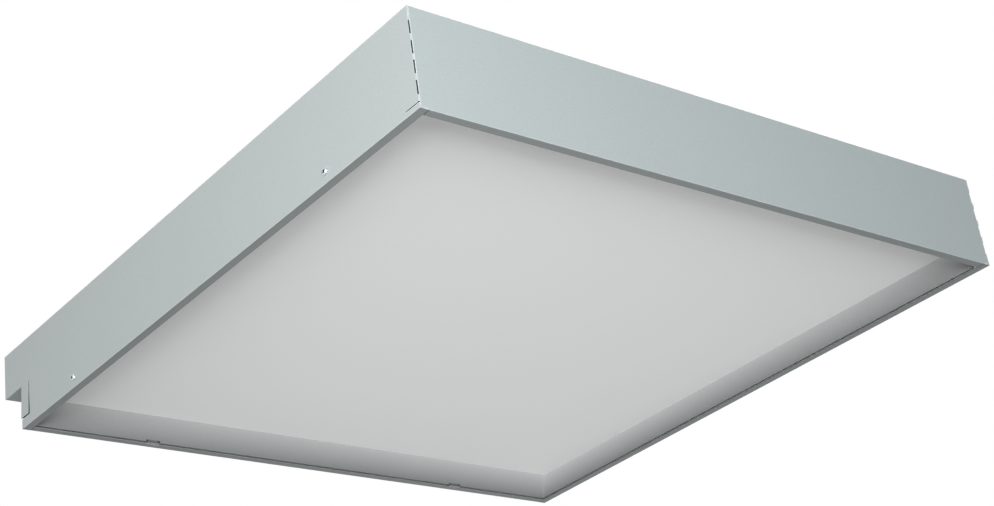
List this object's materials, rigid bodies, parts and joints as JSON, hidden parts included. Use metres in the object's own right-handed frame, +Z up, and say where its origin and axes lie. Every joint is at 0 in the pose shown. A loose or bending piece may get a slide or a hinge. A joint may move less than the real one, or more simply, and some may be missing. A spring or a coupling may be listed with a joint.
{
  "type": "recessed troffer light",
  "caption": "Square sheet-steel ceiling troffer with a stepped back, a deep-set opal diffuser in a hinged frame, and tube lamps with control gear inside.",
  "frame": {"origin": "centre of the overall box, on the plane of the bottom rim", "axes": "+X to the right along the front, +Y from the front to the stepped back, +Z up into the ceiling"},
  "size_m": [0.5982, 0.627, 0.0885],
  "materials": {
    "housing_paint": "fine-texture powder coat, light grey-green",
    "frame_paint": "satin powder coat, pale grey",
    "gear_paint": "gloss white reflector enamel",
    "opal_sheet": "opal acrylic with a fine satin face",
    "zinc_screw": "bright zinc",
    "zinc_nut": "bright zinc",
    "spring_steel": "rolled spring steel",
    "hinge_steel": "bright zinc",
    "galvanised": "galvanised sheet",
    "circuit_board": "glass-fibre board with parts",
    "grey_plastic": "moulded",
    "white_plastic": "moulded",
    "orange_plastic": "moulded release buttons",
    "brass": "bright",
    "black_rubber": "moulded",
    "black_plastic": "moulded",
    "wire_sleeve": "extruded sleeve",
    "lamp_glass": "white phosphor coated glass",
    "lamp_cap": "drawn",
    "pin_metal": "bright",
    "rotor_plastic": "moulded"
  },
  "bodies": {
    "housing": {"back_lower_wall": "housing_paint", "back_upper_wall": "housing_paint", "ballast_base": "galvanised", "ballast_board": "circuit_board", "ballast_case": "galvanised", "ballast_sockets": "grey_plastic", "blank_plug": "black_plastic", "cable_grommet": "black_rubber", "earth_point": "brass", "front_wall": "housing_paint", "gear_cover": "gear_paint", "gear_screws": "zinc_screw", "hinge_ears": "hinge_steel", "hinge_pins": "hinge_steel", "lamp_wires": "wire_sleeve", "lampholder_1_back": "white_plastic", "lampholder_1_front": "white_plastic", "lampholder_2_back": "white_plastic", "lampholder_2_front": "white_plastic", "lampholder_3_back": "white_plastic", "lampholder_3_front": "white_plastic", "lampholder_4_back": "white_plastic", "lampholder_4_front": "white_plastic", "lampholder_contacts": "brass", "leaf_springs": "spring_steel", "left_wall": "housing_paint", "mains_wires": "wire_sleeve", "right_wall": "housing_paint", "side_nuts": "zinc_nut", "side_screws": "zinc_screw", "terminal_body": "white_plastic", "terminal_clamps": "brass", "top_plate": "housing_paint", "wire_saddles": "white_plastic"},
    "diffuser_frame": {"frame_front": "frame_paint", "frame_back": "frame_paint", "frame_left": "frame_paint", "frame_right": "frame_paint", "diffuser_sheet": "opal_sheet", "diffuser_clips": "spring_steel", "hinge_knuckles": "hinge_steel"},
    "lamp_1": {"lamp_1_tube": "lamp_glass", "lamp_1_caps": "lamp_cap", "lamp_1_pins": "pin_metal", "lamp_1_rotors": "rotor_plastic"},
    "lamp_2": {"lamp_2_tube": "lamp_glass", "lamp_2_caps": "lamp_cap", "lamp_2_pins": "pin_metal", "lamp_2_rotors": "rotor_plastic"},
    "lamp_3": {"lamp_3_tube": "lamp_glass", "lamp_3_caps": "lamp_cap", "lamp_3_pins": "pin_metal", "lamp_3_rotors": "rotor_plastic"},
    "lamp_4": {"lamp_4_tube": "lamp_glass", "lamp_4_caps": "lamp_cap", "lamp_4_pins": "pin_metal", "lamp_4_rotors": "rotor_plastic"},
    "button_1": {"terminal_button_1": "orange_plastic"},
    "button_2": {"terminal_button_2": "orange_plastic"},
    "button_3": {"terminal_button_3": "orange_plastic"}
  },
  "joints": [
    {"name": "frame_swing", "type": "hinge", "parent": "housing", "child": "diffuser_frame", "pos_m": [0, 0.2737, 0.0013], "axis": [1, 0, 0], "range_deg": [0, 90]},
    {"name": "lamp_1_turn", "type": "hinge", "parent": "housing", "child": "lamp_1", "pos_m": [-0.21, 0, 0.0563], "axis": [0, 1, 0], "range_deg": [0, 90]},
    {"name": "lamp_2_turn", "type": "hinge", "parent": "housing", "child": "lamp_2", "pos_m": [-0.07, 0, 0.0563], "axis": [0, 1, 0], "range_deg": [0, 90]},
    {"name": "lamp_3_turn", "type": "hinge", "parent": "housing", "child": "lamp_3", "pos_m": [0.07, 0, 0.0563], "axis": [0, 1, 0], "range_deg": [0, 90]},
    {"name": "lamp_4_turn", "type": "hinge", "parent": "housing", "child": "lamp_4", "pos_m": [0.21, 0, 0.0563], "axis": [0, 1, 0], "range_deg": [0, 90]},
    {"name": "button_1_press", "type": "slide", "parent": "housing", "child": "button_1", "axis": [0, 0, 1], "range_m": [0, 0.0012], "stiffness_N_per_m": 300, "springref_m": -0.001},
    {"name": "button_2_press", "type": "slide", "parent": "housing", "child": "button_2", "axis": [0, 0, 1], "range_m": [0, 0.0012], "stiffness_N_per_m": 300, "springref_m": -0.001},
    {"name": "button_3_press", "type": "slide", "parent": "housing", "child": "button_3", "axis": [0, 0, 1], "range_m": [0, 0.0012], "stiffness_N_per_m": 300, "springref_m": -0.001}
  ]
}
